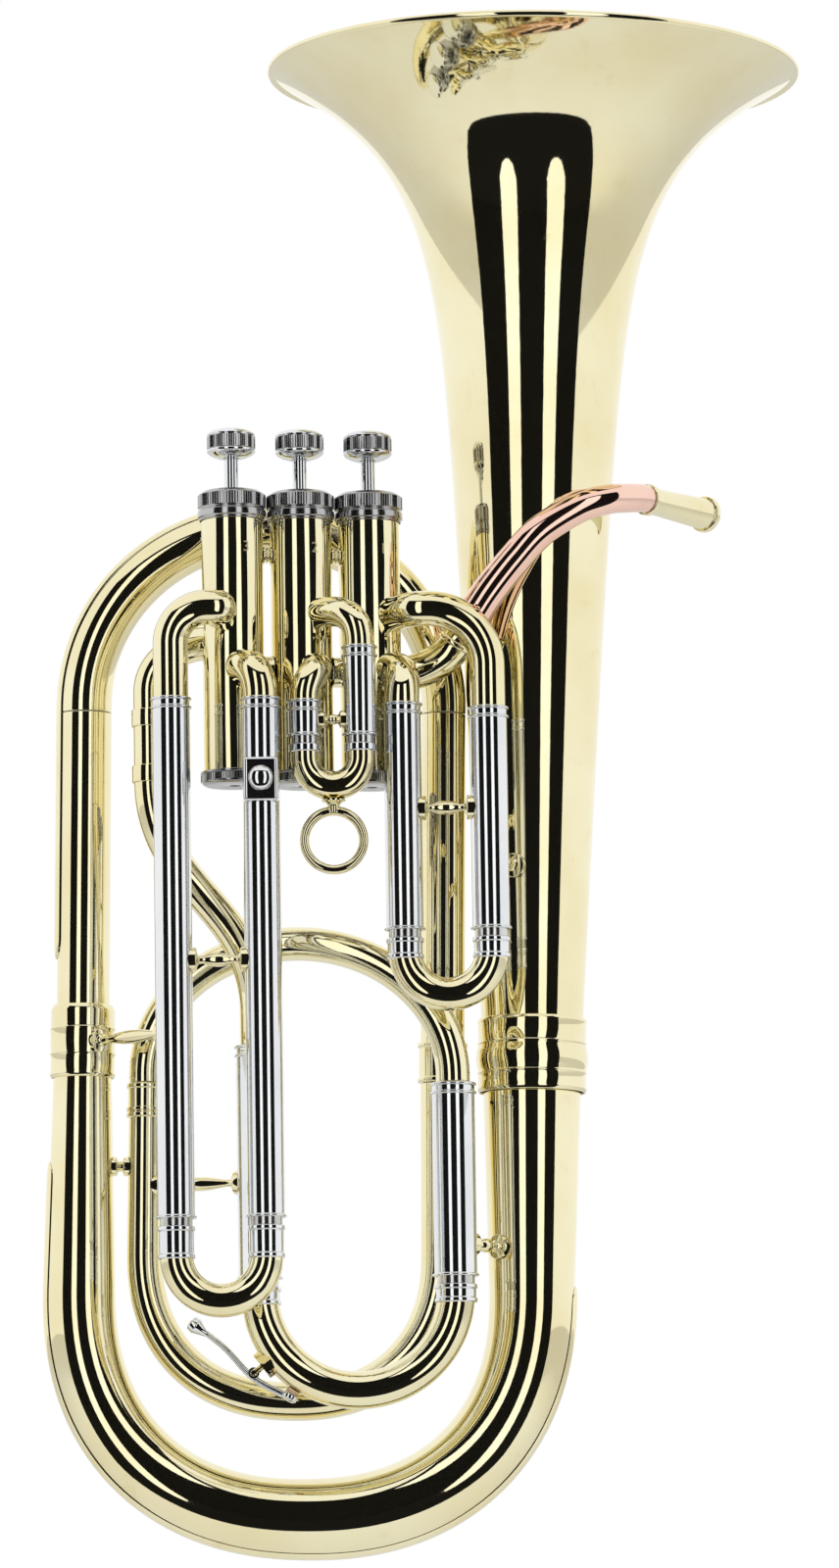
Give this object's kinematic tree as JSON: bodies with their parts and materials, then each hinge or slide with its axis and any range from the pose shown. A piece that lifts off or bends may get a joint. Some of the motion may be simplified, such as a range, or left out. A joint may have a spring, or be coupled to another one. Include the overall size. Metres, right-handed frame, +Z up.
{
  "type": "baritone horn",
  "caption": "Upright piston-valve baritone horn of the saxhorn family, with upright flared bell, wrapped conical tube, tuning and valve slides, water key and finger ring.",
  "frame": {"origin": "the point on the axis of the main branch where the left hand holds the horn, mount hand_hold", "axes": "+Z up along the valves, towards the bell's mouth; +X from the main branch towards the bell; -Y towards the side on which the valve slides lie"},
  "size_m": [0.3196, 0.2218, 0.6202],
  "materials": {
    "lacquered_brass": "polished, clear lacquer",
    "nickel_plate": "polished nickel plate",
    "copper_brass": "polished, clear lacquer",
    "spring_steel": "drawn wire",
    "cork": "natural cork"
  },
  "bodies": {
    "horn": {"arch": "lacquered_brass", "back_bow": "lacquered_brass", "bell": "lacquered_brass", "bell_ferrule": "lacquered_brass", "bottom_bow": "lacquered_brass", "bottom_bow_guard": "lacquered_brass", "bottom_cap_1": "nickel_plate", "bottom_cap_2": "nickel_plate", "bottom_cap_3": "nickel_plate", "brace_branch_return": "lacquered_brass", "brace_branch_slide3": "lacquered_brass", "brace_return_tuning": "lacquered_brass", "brace_slide1_bell": "lacquered_brass", "brace_slide1_legs": "lacquered_brass", "brace_slide2_legs": "lacquered_brass", "brace_slide3_legs": "lacquered_brass", "brace_tuning_bow": "lacquered_brass", "branch_ferrule": "lacquered_brass", "exit_tube": "lacquered_brass", "inner_branch": "lacquered_brass", "lead_crook": "lacquered_brass", "leadpipe": "copper_brass", "lyre_holder": "nickel_plate", "main_branch": "lacquered_brass", "receiver": "lacquered_brass", "slide1_high_leg": "lacquered_brass", "slide1_low_leg": "lacquered_brass", "slide2_high_leg": "lacquered_brass", "slide2_low_leg": "lacquered_brass", "slide3_high_leg": "lacquered_brass", "slide3_low_leg": "lacquered_brass", "top_bow": "lacquered_brass", "top_bow_guard": "lacquered_brass", "top_cap_1": "nickel_plate", "top_cap_2": "nickel_plate", "top_cap_3": "nickel_plate", "tuning_sleeve_left": "nickel_plate", "tuning_sleeve_right": "nickel_plate", "valve_casing_1": "lacquered_brass", "valve_casing_2": "lacquered_brass", "valve_casing_3": "lacquered_brass", "valve_spring_1": "spring_steel", "valve_spring_2": "spring_steel", "valve_spring_3": "spring_steel"},
    "valve_1": {"piston_1": "nickel_plate", "finger_button_1": "nickel_plate"},
    "valve_2": {"piston_2": "nickel_plate", "finger_button_2": "nickel_plate"},
    "valve_3": {"piston_3": "nickel_plate", "finger_button_3": "nickel_plate"},
    "slide_1": {"slide1_bow": "lacquered_brass"},
    "slide_2": {"slide2_bow": "lacquered_brass", "slide2_finger_ring": "lacquered_brass"},
    "slide_3": {"slide3_bow": "lacquered_brass"},
    "tuning": {"tuning_slide": "lacquered_brass", "water_key_saddle": "lacquered_brass"},
    "water_key": {"water_key_lever": "nickel_plate", "water_key_cork": "cork", "water_key_spring": "spring_steel"},
    "lyre_clamp": {"lyre_screw": "nickel_plate"}
  },
  "joints": [
    {"name": "valve_1_press", "type": "slide", "parent": "horn", "child": "valve_1", "axis": [0, 0, -1], "range_m": [0, 0.013], "stiffness_N_per_m": 150, "springref_m": -0.03, "deforming": ["valve_spring_1"]},
    {"name": "valve_2_press", "type": "slide", "parent": "horn", "child": "valve_2", "axis": [0, 0, -1], "range_m": [0, 0.013], "stiffness_N_per_m": 150, "springref_m": -0.03, "deforming": ["valve_spring_2"]},
    {"name": "valve_3_press", "type": "slide", "parent": "horn", "child": "valve_3", "axis": [0, 0, -1], "range_m": [0, 0.013], "stiffness_N_per_m": 150, "springref_m": -0.03, "deforming": ["valve_spring_3"]},
    {"name": "slide_1_pull", "type": "slide", "parent": "horn", "child": "slide_1", "axis": [0, 0, -1], "range_m": [0, 0.06]},
    {"name": "slide_2_pull", "type": "slide", "parent": "horn", "child": "slide_2", "axis": [0, 0, -1], "range_m": [0, 0.01]},
    {"name": "slide_3_pull", "type": "slide", "parent": "horn", "child": "slide_3", "axis": [0, 0, -1], "range_m": [0, 0.1]},
    {"name": "tuning_pull", "type": "slide", "parent": "horn", "child": "tuning", "axis": [0, 0, -1], "range_m": [0, 0.055]},
    {"name": "water_key_press", "type": "hinge", "parent": "tuning", "child": "water_key", "pos_m": [0.06735, -0.0235, -0.21714], "axis": [0, 1, 0], "range_deg": [0, 12], "stiffness_Nm_per_rad": 0.05, "springref_deg": -28.65},
    {"name": "lyre_screw_turn", "type": "hinge", "parent": "horn", "child": "lyre_clamp", "pos_m": [0.0739, -0.07015, 0.0194], "axis": [0, 1, 0], "range_deg": [-180, 180]}
  ]
}
